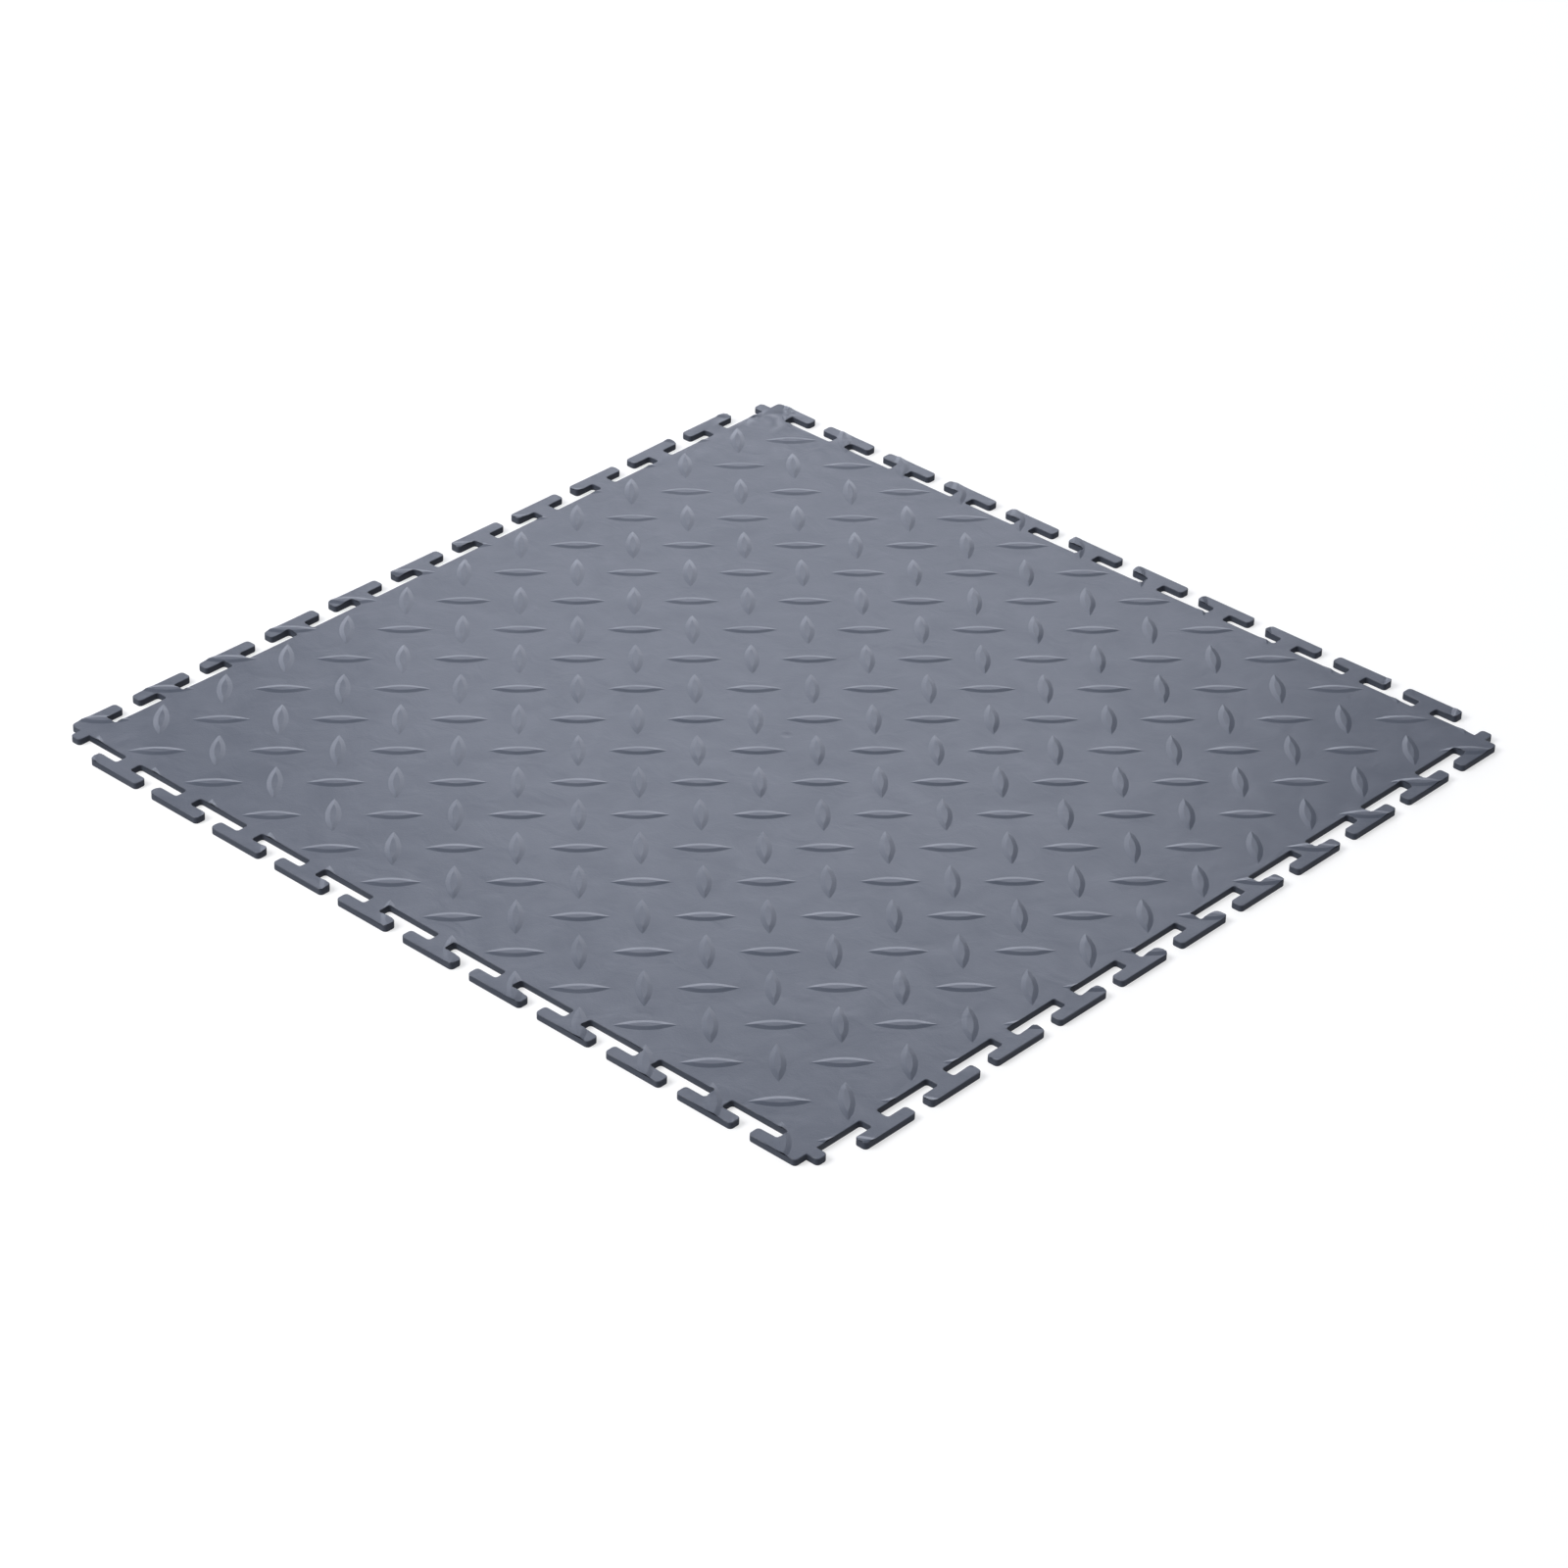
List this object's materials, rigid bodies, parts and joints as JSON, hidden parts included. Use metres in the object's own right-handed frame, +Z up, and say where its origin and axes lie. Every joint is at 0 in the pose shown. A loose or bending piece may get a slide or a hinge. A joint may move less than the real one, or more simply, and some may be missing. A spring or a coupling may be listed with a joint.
{
  "type": "interlocking floor tile",
  "caption": "Square flexible PVC floor tile with T-shaped interlocking teeth on every side and a raised pattern of crossed lens-shaped lugs.",
  "frame": {"origin": "centre of the tile on its underside", "axes": "+Z up, out of the lugged face; X and Y along the sides, with -Y the left of the two sides nearest the camera in the picture and +X the right one"},
  "size_m": [0.5138, 0.5138, 0.0043],
  "materials": {
    "pvc": "satin, fine leather grain"
  },
  "bodies": {
    "root": {"floor_tile": "pvc"}
  },
  "joints": []
}
